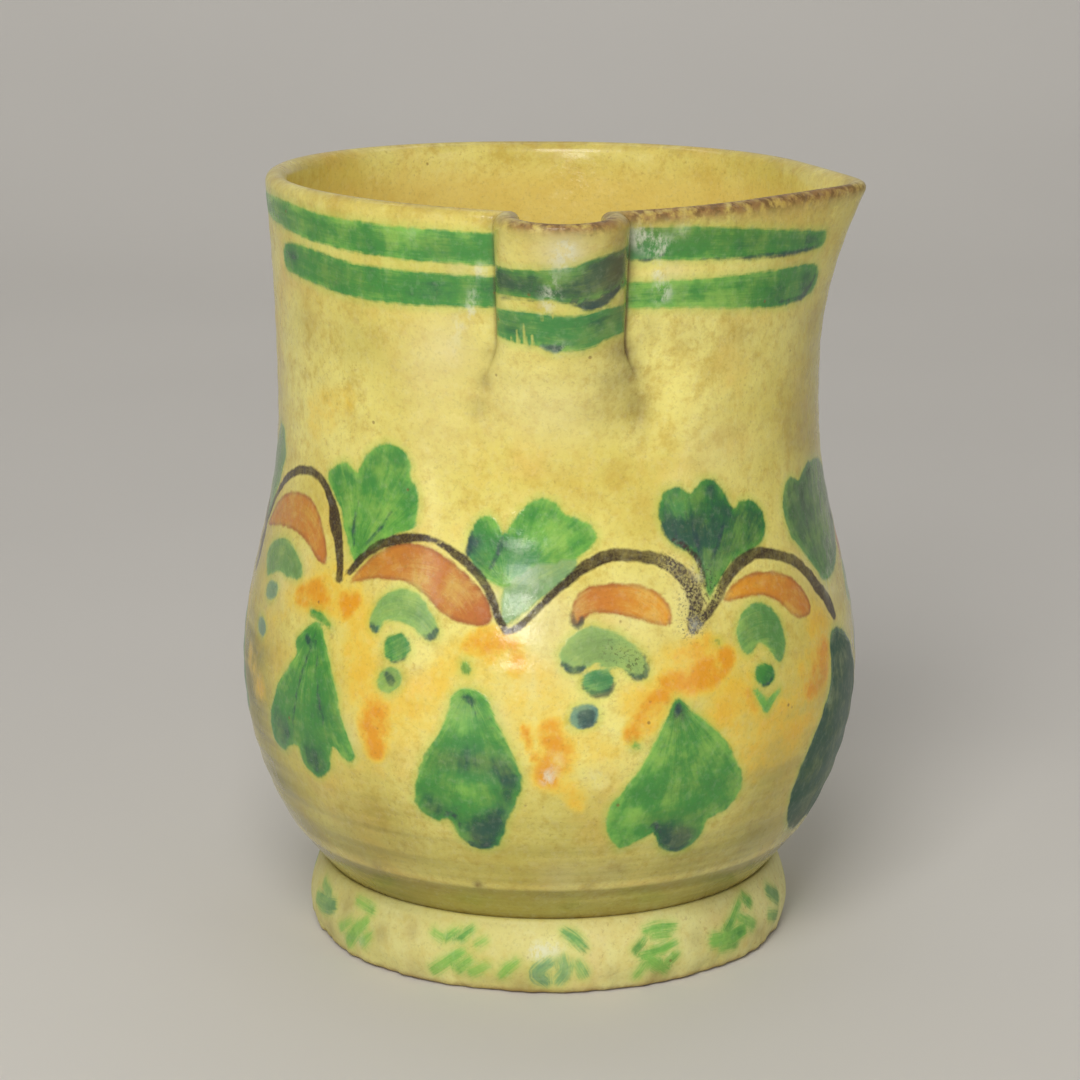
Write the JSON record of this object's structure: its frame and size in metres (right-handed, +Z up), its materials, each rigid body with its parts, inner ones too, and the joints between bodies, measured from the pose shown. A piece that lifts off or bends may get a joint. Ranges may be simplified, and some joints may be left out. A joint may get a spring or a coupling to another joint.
{
  "type": "maiolica jug",
  "caption": "Glazed earthenware jug with a round belly on a turned foot, a wide collar neck, a pouring lip at the front and a strap handle at the back.",
  "frame": {"origin": "centre of the flat underside of the foot, on the jug's axis", "axes": "+Z up along the jug's axis, -Y towards the pouring lip, +Y towards the handle"},
  "size_m": [0.147, 0.1883, 0.1832],
  "materials": {
    "painted_glaze": "honey yellow lead glaze over earthenware, painted in copper green, manganese brown and iron orange",
    "foot_glaze": "pale yellow glaze with dabs of copper green, worn to the clay at the bottom edge",
    "plain_glaze": "plain honey yellow glaze, thin on the edges"
  },
  "bodies": {
    "root": {"foot": "foot_glaze", "belly": "painted_glaze", "neck": "painted_glaze", "pouring_lip": "painted_glaze", "handle_strap": "plain_glaze", "handle_upper_joint": "plain_glaze", "handle_lower_joint": "plain_glaze"}
  },
  "joints": []
}
